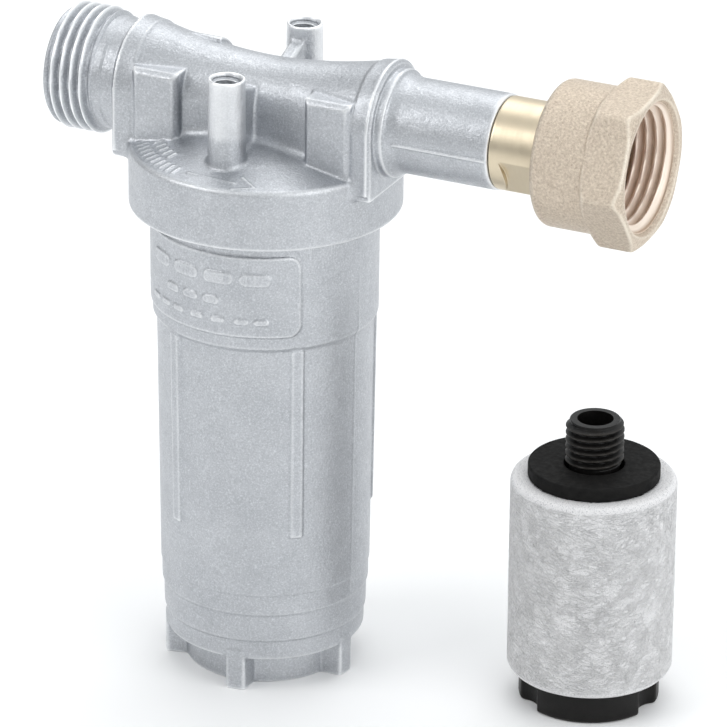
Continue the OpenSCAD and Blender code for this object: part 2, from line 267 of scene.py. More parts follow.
def mesh_object(name, points, faces):
    """A smooth mesh object from points in millimetres and equal-sided faces."""
    faces = np.asarray(faces, np.int32)
    mesh = bpy.data.meshes.new(name)
    mesh.vertices.add(len(points))
    mesh.vertices.foreach_set("co", (np.asarray(points) * MM).astype(np.float32).ravel())
    mesh.loops.add(faces.size)
    mesh.loops.foreach_set("vertex_index", faces.ravel())
    mesh.polygons.add(len(faces))
    sides = faces.shape[1]
    mesh.polygons.foreach_set("loop_start", np.arange(len(faces), dtype=np.int32) * sides)
    mesh.polygons.foreach_set("use_smooth", np.ones(len(faces), bool))
    mesh.update(calc_edges=True)
    mesh.validate()
    piece = bpy.data.objects.new(name, mesh)
    bpy.context.scene.collection.objects.link(piece)
    return piece


def set_convexity(mesh, convexity):
    """Stores how convex each point is, as a share of the convexity reach. The materials turn it into
    painted edge highlights and painted shade in hollows.
    """
    attribute = mesh.attributes.new("convexity", "FLOAT", "POINT")
    attribute.data.foreach_set("value", np.clip(convexity, -1, 1).astype(np.float32))


def thinned(piece, faces):
    """Brings a quad mesh down to a number of triangles."""
    triangles = 2 * len(piece.data.polygons)
    if triangles <= faces:
        return piece
    modifier = piece.modifiers.new("thin", "DECIMATE")
    modifier.ratio = faces / triangles
    modifier.use_collapse_triangulate = True
    graph = bpy.context.evaluated_depsgraph_get()
    mesh = bpy.data.meshes.new_from_object(piece.evaluated_get(graph))
    piece.modifiers.clear()
    old, piece.data = piece.data, mesh
    bpy.data.meshes.remove(old)
    mesh.polygons.foreach_set("use_smooth", np.ones(len(mesh.polygons), bool))
    return piece


def place(radius, angle, along, axis, centre):
    """Points from a radius, an angle and a length along an axis."""
    one, two = radius * np.cos(angle), radius * np.sin(angle)
    if axis == 0:
        parts = (along + 0 * one, centre[0] + one, centre[1] + two)
    else:
        parts = (centre[0] + one, centre[1] + two, along + 0 * one)
    return np.stack(parts, -1)


def grid_faces(rows, columns, close_rows):
    """Quads of a grid that closes round its columns, and round its rows if asked."""
    i = np.arange(rows if close_rows else rows - 1)[:, None]
    j = np.arange(columns)[None, :]
    i2, j2 = (i + 1) % rows, (j + 1) % columns
    quads = [i * columns + j, i * columns + j2, i2 * columns + j2, i2 * columns + j]
    return np.stack([np.broadcast_to(q, (len(i), columns)) for q in quads], -1).reshape(-1, 4)


def shell_of_rows(name, radius, along, axis, centre, angles):
    """A closed ring-shaped shell from grids of radii and lengths, row by row."""
    points = place(radius, angles[None, :], along, axis, centre).reshape(-1, 3)
    faces = grid_faces(radius.shape[0], len(angles), True)
    piece = mesh_object(name, points, faces)
    return outward(piece)


def outward(piece):
    """Turns the faces outwards if the mesh is inside out."""
    mesh = piece.data
    mesh.calc_loop_triangles()
    corners = np.empty(len(mesh.loop_triangles) * 3, np.int32)
    mesh.loop_triangles.foreach_get("vertices", corners)
    co = np.empty(len(mesh.vertices) * 3, np.float32)
    mesh.vertices.foreach_get("co", co)
    a, b, c = (co.reshape(-1, 3)[corners.reshape(-1, 3)[:, k]].astype(float) for k in range(3))
    if np.einsum("ij,ij->i", a, np.cross(b, c)).sum() < 0:
        mesh.flip_normals()
    return piece


def lathe(name, corners, axis=2, centre=(0.0, 0.0), columns=160):
    """A ring-shaped solid from an outline of (radius, length, corner radius)."""
    points = rounded(corners)
    angles = np.linspace(0, 2 * np.pi, columns, endpoint=False)
    radius = np.repeat(points[:, :1], columns, 1)
    along = np.repeat(points[:, 1:], columns, 1)
    return shell_of_rows(name, radius, along, axis, centre, angles)


def thread_wave(turns, flat=0.14):
    """Height of a thread from 0 at the root to 1 at the crest, by turns along it."""
    phase = np.abs((turns % 1.0) - 0.5) * 2
    return np.clip((phase - flat) / (1 - 2 * flat), 0, 1)


def threaded_tube(name, pitch, crest, root, plain, start, end, axis=2,
                  centre=(0.0, 0.0), ramps=(0.8, 0.8), columns=144, hand=1):
    """A tube with one plain side and one helical side. ramps fade the thread at each end."""
    angles = np.linspace(0, 2 * np.pi, columns, endpoint=False)
    steps = int(abs(end - start) / pitch * 14)
    along = np.linspace(start, end, steps)[:, None]
    wave = thread_wave(along / pitch - hand * angles[None, :] / (2 * np.pi))
    fade = np.clip((along - start) / max(ramps[0], 1e-6), 0, 1)
    fade = fade * np.clip((end - along) / max(ramps[1], 1e-6), 0, 1)
    radius = root + (crest - root) * wave * fade
    rows = np.concatenate([radius, np.full((1, columns), plain), np.full((1, columns), plain)])
    lengths = np.concatenate([np.repeat(along, columns, 1),
                              np.full((1, columns), end), np.full((1, columns), start)])
    piece = shell_of_rows(name, rows, lengths, axis, centre, angles)
    # Crests are stored as convex and roots as hollow: the materials give crests rubbed wear with a painted
    # highlight, and give roots painted shade.
    convexity = np.concatenate([0.5 * wave * fade - 0.22, np.zeros((2, columns))])
    set_convexity(piece.data, convexity.ravel())
    return piece


def sharpened(piece, degrees=40):
    """Keeps the edges sharper than an angle crisp in the shading."""
    piece.data.set_sharp_from_angle(angle=math.radians(degrees))
    return piece


# ---- Materials ----

def new_material(name, **sockets):
    """A material with one Principled shader, whose plain values are set on its sockets."""
    material = bpy.data.materials.new(name)
    material.use_nodes = True
    shader = material.node_tree.nodes["Principled BSDF"]
    for key, value in sockets.items():
        shader.inputs[key.replace("_", " ")].default_value = value
    return material, material.node_tree, shader


def noise(tree, size_mm, detail=3.0, roughness=0.55, stretch=None):
    """A noise node with grains of about this size, in object space."""
    where = tree.nodes.new("ShaderNodeTexCoord")
    mapping = tree.nodes.new("ShaderNodeMapping")
    mapping.inputs["Scale"].default_value = stretch or (1, 1, 1)
    texture = tree.nodes.new("ShaderNodeTexNoise")
    texture.inputs["Scale"].default_value = 1 / (size_mm * MM)
    texture.inputs["Detail"].default_value = detail
    texture.inputs["Roughness"].default_value = roughness
    tree.links.new(where.outputs["Object"], mapping.inputs["Vector"])
    tree.links.new(mapping.outputs["Vector"], texture.inputs["Vector"])
    return texture.outputs["Fac"]


def spread(tree, value, low, high, from_low=0.3, from_high=0.7):
    """Maps a value onto a range."""
    node = tree.nodes.new("ShaderNodeMapRange")
    for key, number in (("From Min", from_low), ("From Max", from_high),
                        ("To Min", low), ("To Max", high)):
        node.inputs[key].default_value = number
    tree.links.new(value, node.inputs["Value"])
    return node.outputs["Result"]


def mix_colour(tree, share, first, second):
    """A colour between two, which are colours or sockets."""
    node = tree.nodes.new("ShaderNodeMix")
    node.data_type = "RGBA"
    tree.links.new(share, node.inputs[0])
    for socket, colour in ((node.inputs[6], first), (node.inputs[7], second)):
        if isinstance(colour, tuple):
            socket.default_value = (*colour, 1)
        else:
            tree.links.new(colour, socket)
    return node.outputs[2]


def speckled(tree, dark, light, *grain):
    """A colour that varies between two in grains of noise."""
    return mix_colour(tree, spread(tree, noise(tree, *grain), 0, 1), dark, light)


def bump(tree, shader, *heights):
    """Chains bumps of (height socket, depth in millimetres) into the shader's normal."""
    normal = None
    for height, depth in heights:
        node = tree.nodes.new("ShaderNodeBump")
        node.inputs["Strength"].default_value = 1.0
        node.inputs["Distance"].default_value = depth * MM
        tree.links.new(height, node.inputs["Height"])
        if normal is not None:
            tree.links.new(normal, node.inputs["Normal"])
        normal = node.outputs["Normal"]
    tree.links.new(normal, shader.inputs["Normal"])


def edges(tree, low, high):
    """From 0 to 1 as the stored convexity goes from low to high."""
    attribute = tree.nodes.new("ShaderNodeAttribute")
    attribute.attribute_name = "convexity"
    return spread(tree, attribute.outputs["Fac"], 0, 1, low, high)


def cast_metal():
    """Dull bright die-cast skin: fine specks, soft waves, paler rubbed edges with a painted edge highlight,
    and painted shade in hollows.
    """
    material, tree, shader = new_material("cast_metal", Metallic=1.0)
    cloud, speck = noise(tree, 7, 4), noise(tree, 0.3, 3, 0.7)
    colour = mix_colour(tree, spread(tree, cloud, 0, 1), (0.455, 0.47, 0.495), (0.51, 0.525, 0.55))
    colour = mix_colour(tree, spread(tree, speck, 0, 0.6, 0.5, 0.75), colour, (0.82, 0.84, 0.865))
    colour = mix_colour(tree, spread(tree, speck, 0.5, 0, 0.25, 0.45), colour, (0.28, 0.29, 0.305))
    # Convex edges mixed to near white: rubbed wear plus a painted edge highlight.
    colour = mix_colour(tree, edges(tree, 0.05, 0.30), colour, (0.97, 0.98, 0.99))
    # Hollows mixed towards a plain grey: painted shade in the hollows.
    colour = mix_colour(tree, edges(tree, -0.2, -0.5), colour, (0.50, 0.51, 0.53))
    tree.links.new(colour, shader.inputs["Base Color"])
    tree.links.new(spread(tree, noise(tree, 1.4, 4), 0.36, 0.52), shader.inputs["Roughness"])
    bump(tree, shader, (noise(tree, 2.6, 2), 0.09), (noise(tree, 0.45, 3, 0.65), 0.10))
    return material


def turned_brass():
    """Satin brass with fine turning marks round the pipe axis."""
    material, tree, shader = new_material("turned_brass", Metallic=1.0)
    marks = noise(tree, 0.35, 2, 0.6, (1, 0.02, 0.02))
    colour = mix_colour(tree, spread(tree, noise(tree, 5, 3), 0, 1), (0.69, 0.60, 0.45), (0.64, 0.55, 0.41))
    tree.links.new(colour, shader.inputs["Base Color"])
    tree.links.new(spread(tree, marks, 0.32, 0.42), shader.inputs["Roughness"])
    bump(tree, shader, (marks, 0.012))
    return material


def cast_bronze():
    """Sandy cast bronze."""
    material, tree, shader = new_material("cast_bronze", Metallic=1.0)
    grain = noise(tree, 0.42, 4, 0.7)
    colour = mix_colour(tree, spread(tree, grain, 0, 1), (0.50, 0.41, 0.325), (0.78, 0.685, 0.57))
    # Convex edges mixed to a pale tone: rubbed wear plus a painted edge highlight.
    colour = mix_colour(tree, edges(tree, 0.05, 0.30), colour, (0.95, 0.88, 0.76))
    tree.links.new(colour, shader.inputs["Base Color"])
    tree.links.new(spread(tree, grain, 0.55, 0.38), shader.inputs["Roughness"])
    bump(tree, shader, (noise(tree, 2.0, 2), 0.08), (grain, 0.22))
    return material


def machined_bronze():
    """Bright cut thread flanks in the nut."""
    material, tree, shader = new_material("machined_bronze", Metallic=0.5)
    streaks = noise(tree, 0.3, 2, 0.5, (1, 0.05, 0.05))
    colour = mix_colour(tree, spread(tree, streaks, 0, 1), (0.86, 0.74, 0.63), (0.95, 0.84, 0.74))
    # Thread roots and hollows mixed to dark bronze: painted shade.
    colour = mix_colour(tree, edges(tree, -0.04, -0.3), colour, (0.5, 0.38, 0.28))
    tree.links.new(colour, shader.inputs["Base Color"])
    tree.links.new(spread(tree, streaks, 0.4, 0.5), shader.inputs["Roughness"])
    bump(tree, shader, (streaks, 0.02))
    return material


def steel(name, colour=(0.72, 0.73, 0.75)):
    material, tree, shader = new_material(name, Metallic=1.0)
    streaks = noise(tree, 0.3, 2, 0.5, (0.05, 0.05, 1))
    shade = mix_colour(tree, spread(tree, streaks, 0, 1), colour, tuple(0.85 * c for c in colour))
    tree.links.new(shade, shader.inputs["Base Color"])
    tree.links.new(spread(tree, streaks, 0.25, 0.4), shader.inputs["Roughness"])
    bump(tree, shader, (streaks, 0.01))
    return material


def black_plastic():
    """Moulded black plastic with a fine texture and paler edges: rubbed wear plus a painted edge highlight.
    """
    material, tree, shader = new_material("black_plastic", Specular_IOR_Level=0.24)
    colour = speckled(tree, (0.003, 0.0027, 0.0025), (0.006, 0.0054, 0.005), 2, 3)
    # Convex edges and thread crests mixed paler: rubbed wear plus a painted highlight.
    colour = mix_colour(tree, edges(tree, 0.06, 0.30), colour, (0.03, 0.027, 0.024))
    tree.links.new(colour, shader.inputs["Base Color"])
    tree.links.new(spread(tree, noise(tree, 0.6, 3), 0.32, 0.5), shader.inputs["Roughness"])
    bump(tree, shader, (noise(tree, 0.35, 2), 0.02))
    return material


def rubber():
    """Matt black rubber."""
    material, tree, shader = new_material("rubber", Specular_IOR_Level=0.1)
    colour = speckled(tree, (0.006, 0.006, 0.006), (0.013, 0.0125, 0.012), 1.5, 4)
    tree.links.new(colour, shader.inputs["Base Color"])
    tree.links.new(spread(tree, noise(tree, 0.8, 3), 0.6, 0.8), shader.inputs["Roughness"])
    bump(tree, shader, (noise(tree, 0.25, 3), 0.03))
    return material


def gasket_fibre():
    material, tree, shader = new_material("gasket_fibre")
    colour = speckled(tree, (0.16, 0.05, 0.03), (0.28, 0.10, 0.06), 0.5, 4)
    tree.links.new(colour, shader.inputs["Base Color"])
    tree.links.new(spread(tree, noise(tree, 0.4, 3), 0.65, 0.85), shader.inputs["Roughness"])
    bump(tree, shader, (noise(tree, 0.2, 3), 0.04))
    return material


def fleece_cloth():
    """Bonded white fibre mat."""
    material, tree, shader = new_material(
        "fleece_cloth", Roughness=0.95, Specular_IOR_Level=0.2)
    strands = noise(tree, 0.35, 3, 0.6)
    colour = mix_colour(tree, spread(tree, strands, 0, 1), (0.70, 0.695, 0.70), (0.78, 0.775, 0.78))
    specks = spread(tree, noise(tree, 0.22, 2, 0.8), 0, 0.8, 0.54, 0.64)
    colour = mix_colour(tree, specks, colour, (0.30, 0.305, 0.32))
    tree.links.new(colour, shader.inputs["Base Color"])
    bump(tree, shader, (noise(tree, 1.6, 3), 0.03), (strands, 0.10))
    return material


def fleece_fibre():
    """Single polyester fibres on the mat."""
    material, tree, shader = new_material("fleece_fibre", Roughness=0.6, Specular_IOR_Level=0.3)
    colour = speckled(tree, (0.66, 0.66, 0.67), (0.84, 0.835, 0.83), 0.4, 2, 0.7)
    tree.links.new(colour, shader.inputs["Base Color"])
    return material


def floor_white():
    material, tree, shader = new_material("floor_white", Roughness=0.9, Specular_IOR_Level=0.1)
    colour = speckled(tree, (0.93, 0.93, 0.93), (0.95, 0.95, 0.95), 400, 2)
    tree.links.new(colour, shader.inputs["Base Color"])
    return material


CAST = cast_metal()
BRASS = turned_brass()
BRONZE = cast_bronze()
CUT_BRONZE = machined_bronze()
STEEL = steel("magnet_steel")
SCREEN = steel("screen_steel", (0.62, 0.63, 0.65))
PLASTIC = black_plastic()
RUBBER = rubber()
FIBRE = gasket_fibre()
FLEECE = fleece_cloth()
STRAND = fleece_fibre()


def finish_piece(piece, body, slot, material, *nodes):
    """Gives a piece its material and its body, and hides the CAD nodes that it stands for. The slot
    argument is not used.
    """
    piece.data.materials.clear()
    piece.data.materials.append(material)
    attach(piece, body)
    if nodes:
        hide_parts(*nodes)
    return piece


# ---- Head ----

BLOCK_IN, BLOCK_OUT = 20.6, 24.2
TUBE_R, WAIST_R = 10.1, 7.4
BOSS_Y = 14.8
BOSS_TOP = DISC_Z + 16.7
BOSS_RIB = 1.25
THREAD_PITCH = 1.814
THREAD_CREST, THREAD_ROOT = 10.9, 9.74
RELIEF_X = -28.3


def tube_radius(x):
    return WAIST_R + (TUBE_R - 0.2 - WAIST_R) * (np.abs(x) / BLOCK_IN) ** 1.9


def waisted_tube(reach):
    """The pipe between the blocks: round on top, straight-sided down to the disc."""
    low = np.array([-reach, -TUBE_R, DISC_Z - 2])
    high = np.array([reach, TUBE_R, PIPE_Z + TUBE_R])

    def distance(x, y, z):
        side = length(y, np.maximum(z - PIPE_Z, 0)) - tube_radius(x)
        return np.maximum(np.maximum(side, np.abs(x) - reach), DISC_Z - 2 - z)

    return distance, low, high


def end_block(side):
    """A U-shaped block at one end of the pipe, down past the rim of the disc."""
    x0, x1 = sorted((side * BLOCK_IN, side * BLOCK_OUT))
    foot, edge = DISC_Z - 3.2, 0.4
    low = np.array([x0, -TUBE_R, foot])
    high = np.array([x1, TUBE_R, PIPE_Z + TUBE_R])

    def distance(x, y, z):
        across = length(y, np.maximum(z - PIPE_Z, 0)) - TUBE_R + edge
        through = np.abs(x - (x0 + x1) / 2) - (x1 - x0) / 2 + edge
        down = foot + edge - z
        worst = np.maximum(np.maximum(across, through), down)
        corner = length(np.maximum(across, 0), np.maximum(through, 0), np.maximum(down, 0))
        return np.minimum(worst, 0) + corner - edge

    return distance, low, high


def spanner_pad(side, front):
    """A flat pad on the pipe's flank with bevelled edges."""
    x0, x1 = sorted((side * 11.8, side * 20.4))
    face, top, bevel = 10.35, PIPE_Z + 5.5, 0.8
    y0, y1 = sorted((front * 4.0, front * face))
    low = np.array([x0, y0, DISC_Z - 1])
    high = np.array([x1, y1, top])

    def distance(x, y, z):
        depth = front * y - face
        ends = np.abs(x - (x0 + x1) / 2) - (x1 - x0) / 2
        up = z - top
        body = np.maximum(np.maximum(depth, ends), np.maximum(up, 4.0 - front * y))
        slant_end = (depth + ends + bevel) * 0.7071
        slant_top = (depth + up + bevel) * 0.7071
        body = soft_max(soft_max(body, slant_end, 0.25), slant_top, 0.25)
        return np.maximum(body, DISC_Z - 1 - z)

    return distance, low, high


def pipe_pad(x0, x1, radius):
    """A raised patch on the rear of the pipe's top."""
    low = np.array([x0, 1.0, PIPE_Z])
    high = np.array([x1, radius, PIPE_Z + radius])

    def distance(x, y, z):
        ends = np.abs(x - (x0 + x1) / 2) - (x1 - x0) / 2
        wall = length(y, z - PIPE_Z) - radius
        slant = np.maximum(1.8 - y, PIPE_Z + 3.5 - z)
        return soft_max(soft_max(ends, wall, 0.5), slant, 0.5)

    return distance, low, high


def boss_rib(front):
    """The rib from a boss to the pipe, whose top slopes down towards the pipe."""
    y0, y1 = sorted((front * 5.0, front * BOSS_Y))
    low = np.array([-BOSS_RIB, y0, DISC_Z])
    high = np.array([BOSS_RIB, y1, BOSS_TOP - 1.8])

    def distance(x, y, z):
        inward = BOSS_Y - front * y
        top = (z - BOSS_TOP + 1.4 + 0.36 * inward) * 0.94
        ends = np.maximum(-inward, inward - BOSS_Y + 5.0)
        return soft_max(soft_max(np.abs(x) - BOSS_RIB, top, 0.6), np.maximum(ends, DISC_Z - z), 0.3)

    return distance, low, high


def slope_rod(start, end, width):
    """A round bar between two points."""
    start, end = np.array(start, float), np.array(end, float)
    way = end - start
    low = np.minimum(start, end) - width
    high = np.maximum(start, end) + width

    def distance(x, y, z):
        px, py, pz = x - start[0], y - start[1], z - start[2]
        share = np.clip((px * way[0] + py * way[1] + pz * way[2]) / (way @ way), 0, 1)
        return length(px - share * way[0], py - share * way[1], pz - share * way[2]) - width

    return distance, low, high


def dome_height(radius):
    """Height of the disc's sloping top at a radius."""
    return DISC_Z + np.interp(radius, [8.0, 15.3, COLLAR_R - 0.9], [3.2, 1.9, 0.0])


def dome_point(radius, angle):
    """A point on the disc, at an angle in degrees from -Y towards +X."""
    a = math.radians(angle)
    return (radius * math.sin(a), -radius * math.cos(a), float(dome_height(radius)))


def head_field():
    low = (BLOCK_OUT * -1 - 5.5, -COLLAR_R - 1, COLLAR_Z - 1)
    high = (SNOUT_END + 1, COLLAR_R + 1, PIPE_Z + TUBE_R + 1.5)
    field = Field(low, high, 0.25)
    field.add(turned([
        (0, ROOF_Z - 1, 0), (NECK_R + 2, ROOF_Z - 1, 0), (NECK_R + 2, COLLAR_Z, 0),
        (COLLAR_R, COLLAR_Z, 0.35), (COLLAR_R, DISC_Z, 0.95), (15.3, DISC_Z + 1.9, 6),
        (8, DISC_Z + 3.2, 2), (0, DISC_Z + 3.2, 0)]))
    field.add(waisted_tube(BLOCK_OUT - 0.5), 1.6)
    for side in (-1, 1):
        field.add(end_block(side), 0.6)
        for front in (-1, 1):
            field.add(spanner_pad(side, front), 0.5)
    for front in (-1, 1):
        spot = (0.0, front * BOSS_Y)
        field.add(rod(2, spot, 3.25, DISC_Z, BOSS_TOP, 0.25, 3.1), 0.8)
        field.add(boss_rib(front), 0.9)
    # Collars behind the male thread and in front of the snout
    centre = (0.0, PIPE_Z)
    field.add(rod(0, centre, 9.5, -27.4, -BLOCK_OUT + 1, 0.25), 0.3)
    field.add(rod(0, centre, 9.25, BLOCK_OUT - 1, 25.7, 0.3), 0.3)
    field.add(rod(0, centre, 9.0, 25, 27.6, 0.2, 8.1), 0.45)
    field.add(rod(0, centre, 8.15, 24, SNOUT_END, 0.3), 0.2)
    # Parting lines along the snout
    for front in (-1, 1):
        field.add(slope_rod((26, front * 8.07, PIPE_Z - 0.7),
                            (SNOUT_END - 0.6, front * 8.07, PIPE_Z - 0.7), 0.3), 0.12)
    # Flat pad at the top of the pipe, on its rear side
    field.add(pipe_pad(-16.5, -9.4, 8.85), 0.3)
    add_flow_arrow(field)
    cut_bores(field, centre)
    return field


def add_flow_arrow(field):
    """A plain raised arrow along the disc's front edge, and plain bars on its left."""
    shaft = ((-4.6, -19.9), (4.2, -20.4))
    tip, barbs = (7.8, -20.3), ((4.7, -18.5), (4.5, -22.0))
    lines = [shaft] + [(tip, barb) for barb in barbs]
    for start, end in lines:
        ends = [(x, y, float(dome_height(math.hypot(x, y)))) for x, y in (start, end)]
        field.add(slope_rod(*ends, 0.36), 0.12)
    for ring, half, first, last, count in ((20.9, 0.9, -60, -20, 11), (18.3, 0.7, -53, -33, 5)):
        for angle in np.linspace(first, last, count):
            field.add(slope_rod(dome_point(ring - half, angle), dome_point(ring + half, angle), 0.36), 0.12)


def cut_bores(field, centre):
    """Bores, the threaded holes and the cavity for the bowl's neck."""
    field.cut(rod(0, centre, 6.5, -60, -14, 0), 0.2)
    field.cut(rod(0, centre, 4.6, -15, 4, 0))
    field.cut(rod(0, centre, 4.6, 9, 60, 0))
    field.cut(rod(0, centre, 6.2, 34, 60, 0), 0.2)
    field.cut(rod(2, (13.8, 0.0), 2.3, 80, PIPE_Z, 0))
    field.cut(rod(2, (0.0, 0.0), 5.05, 80, ROOF_Z + 9, 0), 0.3)
    field.cut(rod(2, (0.0, 0.0), NECK_R + 0.1, COLLAR_Z - 5, ROOF_Z, 0), 0.4)
    for front in (-1, 1):
        spot = (0.0, front * BOSS_Y)
        field.cut(rod(2, spot, 2.5, BOSS_TOP - 10, BOSS_TOP + 3, 0), 0.2)
        field.cut(rod(2, spot, 2.4, BOSS_TOP - 0.6, BOSS_TOP + 0.6, 0, 3.1))


def build_head():
    head = head_field().mesh("head_shell", 190_000)
    finish_piece(head, "head", "head_casting", CAST, "head_casting")
    thread = threaded_tube("male_thread", THREAD_PITCH, THREAD_CREST, THREAD_ROOT, 6.52,
                           MALE_END + 0.05, RELIEF_X, 0, (0.0, PIPE_Z), (1.1, 0.9))
    finish_piece(sharpened(thread, 35), "head", "head_casting", CAST)
    relief = lathe("thread_relief", [(6.5, -34, 0), (9.72, -34, 0), (9.72, -27.0, 0.4),
                                     (9.4, -26.4, 0), (9.4, -25.0, 0), (6.5, -25.0, 0)],
                   0, (0.0, PIPE_Z))
    finish_piece(sharpened(relief), "head", "head_casting", CAST)
    for front, name in ((-1, "front"), (1, "rear")):
        hole = threaded_tube(name + "_boss_thread", 0.8, 2.1, 2.5, 2.62,
                             BOSS_TOP - 9.9, BOSS_TOP - 0.5, 2, (0.0, front * BOSS_Y),
                             (0.1, 0.5), 72)
        finish_piece(sharpened(hole, 35), "head", "head_casting", CAST)


# ---- Bowl ----

ZONE_R = 19.4
STEP_Z = 64.4
FOOT_H = 5.9
LEDGE_Z = 14.9
BODY_LOW, BODY_HIGH = 18.0, 18.6
LOBES = 5
LOBE_TURN = 8.7
RIB_H = 0.42
RIB_TURN = -1.9
PLATE_Z = (67.4, 82.1)
PLATE_MIDDLE, PLATE_HALF = -10.0, 54.5
PLATE_H = 0.34


def body_radius(z):
    """Radius of the bowl's outside at a height."""
    return np.interp(z, [LEDGE_Z, STEP_Z, STEP_Z + 0.9, COLLAR_Z],
                     [BODY_LOW, BODY_HIGH, ZONE_R - 0.1, ZONE_R])


def direction(angle):
    """Unit vector in the plan at an angle from -Y towards +X, in degrees."""
    a = math.radians(angle)
    return math.sin(a), -math.cos(a)


def wall_patch(angle, half_width, z0, z1, height, corner, edge=0.2):
    """A raised patch on the bowl's wall, a rounded rectangle seen from outside."""
    ox, oy = direction(angle)
    reach = ZONE_R + 2
    low = np.array([-reach, -reach, z0 - 0.5])
    high = np.array([reach, reach, z1 + 0.5])

    def distance(x, y, z):
        out = x * ox + y * oy
        side = -x * oy + y * ox
        radius = length(x, y)
        arc = np.arctan2(side, out) * radius
        wall = body_radius(z) + height
        across = np.abs(arc) - half_width + corner
        up = np.abs(z - (z0 + z1) / 2) - (z1 - z0) / 2 + corner
        frame_edge = (np.minimum(np.maximum(across, up), 0)
                      + length(np.maximum(across, 0), np.maximum(up, 0)) - corner)
        shell = np.maximum(radius - wall, wall - 2 - radius)
        return soft_max(frame_edge, shell, edge)

    return distance, low, high


def foot_tooth(angle):
    ox, oy = direction(angle)
    reach = 17.3

    def distance(x, y, z):
        out = x * ox + y * oy
        side = np.abs(-x * oy + y * ox)
        half = 2.45 - (out - 13.5) * 0.21
        round_end = length(x, y) - reach
        return soft_max(soft_max(side - half, round_end, 0.4), np.maximum(-z, 13.4 - out), 0.2)

    centre = np.array([15.4 * ox, 15.4 * oy])
    low = np.array([centre[0] - 4, centre[1] - 4, 0])
    high = np.array([centre[0] + 4, centre[1] + 4, FOOT_H + 0.4])
    return distance, low, high


def bowl_field():
    reach = ZONE_R + 1.2
    field = Field((-reach, -reach, -0.6), (reach, reach, NECK_TOP + 0.6), 0.25)
    field.add(turned([
        (0, 0, 0), (13.9, 0, 0.5), (13.9, FOOT_H, 0.2), (17.15, FOOT_H, 0.5),
        (17.2, 9.4, 0), (17.5, 9.75, 0), (17.6, LEDGE_Z - 0.5, 0),
        (BODY_LOW - 0.1, LEDGE_Z, 0.2), (BODY_LOW - 0.08, 18.4, 0), (BODY_LOW + 0.1, 18.65, 0),
        (BODY_HIGH, STEP_Z, 0.3), (ZONE_R - 0.1, STEP_Z + 0.9, 0.4),
        (ZONE_R, COLLAR_Z - 0.3, 0.2), (NECK_R - 0.6, COLLAR_Z - 0.3, 0),
        (NECK_R - 0.6, NECK_TOP, 0.4), (16.2, NECK_TOP, 0.4), (15.8, STEP_Z + 1, 3),
        (15.2, LEDGE_Z, 3), (13.5, 6.5, 3), (11.5, 4.5, 2), (0, 4.5, 0)]))
    for k in range(LOBES):
        field.add(foot_tooth(LOBE_TURN + 360 / LOBES * k), 0.35)
        field.add(wall_patch(LOBE_TURN + 360 / LOBES * (k + 0.5) + RIB_TURN, 1.15, 29.5,
                             STEP_Z + 0.2, RIB_H, 0.4), 0.3)
    half = math.radians(PLATE_HALF) * ZONE_R
    field.add(wall_patch(PLATE_MIDDLE, half, *PLATE_Z, PLATE_H, 2.4, 0.3), 0.3)
    for angle in (LOBE_TURN + 72, LOBE_TURN + 252):
        field.add(wall_patch(angle, 0.16, LEDGE_Z + 1, COLLAR_Z - 1, 0.12, 0.1), 0.2)
    add_label_bars(field)
    return field


def add_label_bars(field):
    """Plain raised bars on the plate, where a maker's lettering would be."""
    rows = ((78.0, 2.3, (-36, -17, 2, 21), 2.7), (73.7, 1.5, (-26, -14, -2), 1.6),
            (70.3, 1.1, (-42, -32, -22, -10, 2, 14, 24), 1.3))
    for z, height, angles, half in rows:
        for angle in angles:
            field.add(wall_patch(angle, half, z - height / 2, z + height / 2,
                                 PLATE_H + 0.22, min(height, half) * 0.45, 0.12), 0.12)


def build_bowl():
    bowl = bowl_field().mesh("bowl_shell", 190_000)
    finish_piece(bowl, "bowl_body", "bowl_casting", CAST, "bowl")
    thread = threaded_tube("bowl_neck_thread", 1.5, NECK_R, NECK_R - 0.9, NECK_R - 1.4,
                           COLLAR_Z - 0.25, NECK_TOP - 0.4, ramps=(0.5, 0.5), columns=192)
    finish_piece(sharpened(thread, 35), "bowl_body", "bowl_casting", CAST)


# ---- Union ----

NUT_R = 12.4
NUT_FLATS = 25.0
NUT_TURN = math.radians(6.4)
NUT_WALL = 2.6
HEX_X = 62.9
NUT_THREAD_X = 62.45
CHAMBER_R = 10.0
TAIL_R = 7.9


def hexagon(x0, x1):
    """The nut's hexagon with a little rounding on its corners."""
    low = np.array([x0, -NUT_FLATS * 0.6, PIPE_Z - NUT_FLATS * 0.6])
    high = np.array([x1, NUT_FLATS * 0.6, PIPE_Z + NUT_FLATS * 0.6])

    def distance(x, y, z):
        field = np.abs(x - (x0 + x1) / 2) - (x1 - x0) / 2
        walls = None
        for k in range(3):
            angle = NUT_TURN + math.radians(30 + 60 * k)
            wall = np.abs(-y * math.sin(angle - math.pi / 2) + (z - PIPE_Z) * math.cos(angle - math.pi / 2))
            wall = wall - NUT_FLATS / 2
            walls = wall if walls is None else soft_max(walls, wall, 0.5)
        cone = length(y, z - PIPE_Z) - 14.25
        front = (length(y, z - PIPE_Z) - 12.6) * 0.5 + (x - x1) * 0.866
        back = (length(y, z - PIPE_Z) - 12.5) * 0.42 + (x0 - x) * 0.907
        walls = soft_max(walls, cone, 0.4)
        walls = soft_max(soft_max(walls, front, 0.3), back, 0.5)
        return soft_max(walls, field, 0.3)

    return distance, low, high


